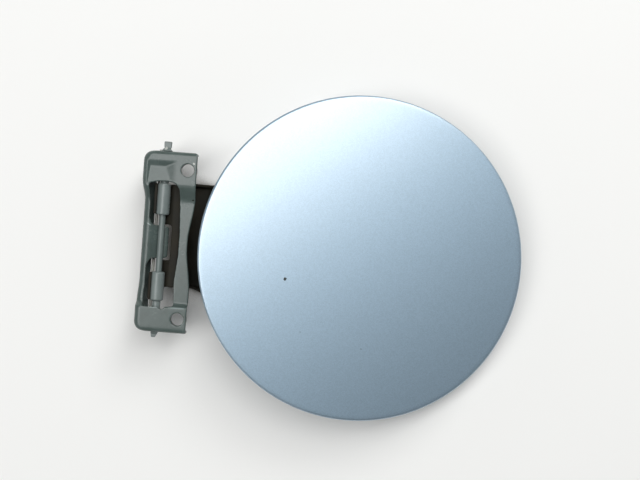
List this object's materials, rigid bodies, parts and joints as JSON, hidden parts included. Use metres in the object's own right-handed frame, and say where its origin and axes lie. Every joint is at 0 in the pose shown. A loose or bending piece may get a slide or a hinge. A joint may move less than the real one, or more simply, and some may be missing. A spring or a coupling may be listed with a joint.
{
  "type": "car fuel door",
  "caption": "Round car fuel door with a gooseneck hinge arm that turns on a pin in a stamped two-hole bracket, with a slotted latch catch opposite.",
  "frame": {"origin": "midway between the two screw holes, on the face of the bracket that is screwed to the body", "axes": "+X from the hinge to the door, +Y along the hinge pin towards its flattened end, +Z out of the screwed face"},
  "size_m": [0.1963, 0.165, 0.0367],
  "materials": {
    "bracket_paint": "satin grey-green coat over stamped steel",
    "pin_steel": "satin grey-green coat",
    "tube_coat": "smooth satin grey-green coat",
    "spring_steel": "drawn wire",
    "arm_black": "satin black dip coat",
    "body_paint": "glossy metallic silver-blue body paint",
    "inner_paint": "satin metallic silver-blue paint",
    "rivet_black": "satin black dip coat",
    "rubber": "matt",
    "mastic": "matt"
  },
  "bodies": {
    "bracket": {"hinge_bracket": "bracket_paint", "hinge_pin": "pin_steel", "hold_spring": "spring_steel"},
    "door": {"hinge_arm": "arm_black", "knuckle_tube_upper": "tube_coat", "knuckle_tube_lower": "tube_coat", "outer_panel": "body_paint", "inner_panel": "inner_paint", "mastic_pads": "mastic", "latch_catch": "arm_black", "arm_rivets": "rivet_black", "catch_rivets": "rivet_black", "buffer_upper": "rubber", "buffer_lower": "rubber"}
  },
  "joints": [
    {"name": "door_hinge", "type": "hinge", "parent": "bracket", "child": "door", "pos_m": [-0.0118, 0, -0.0049], "axis": [0, 1, 0], "range_deg": [-4.9, 85.1]}
  ]
}
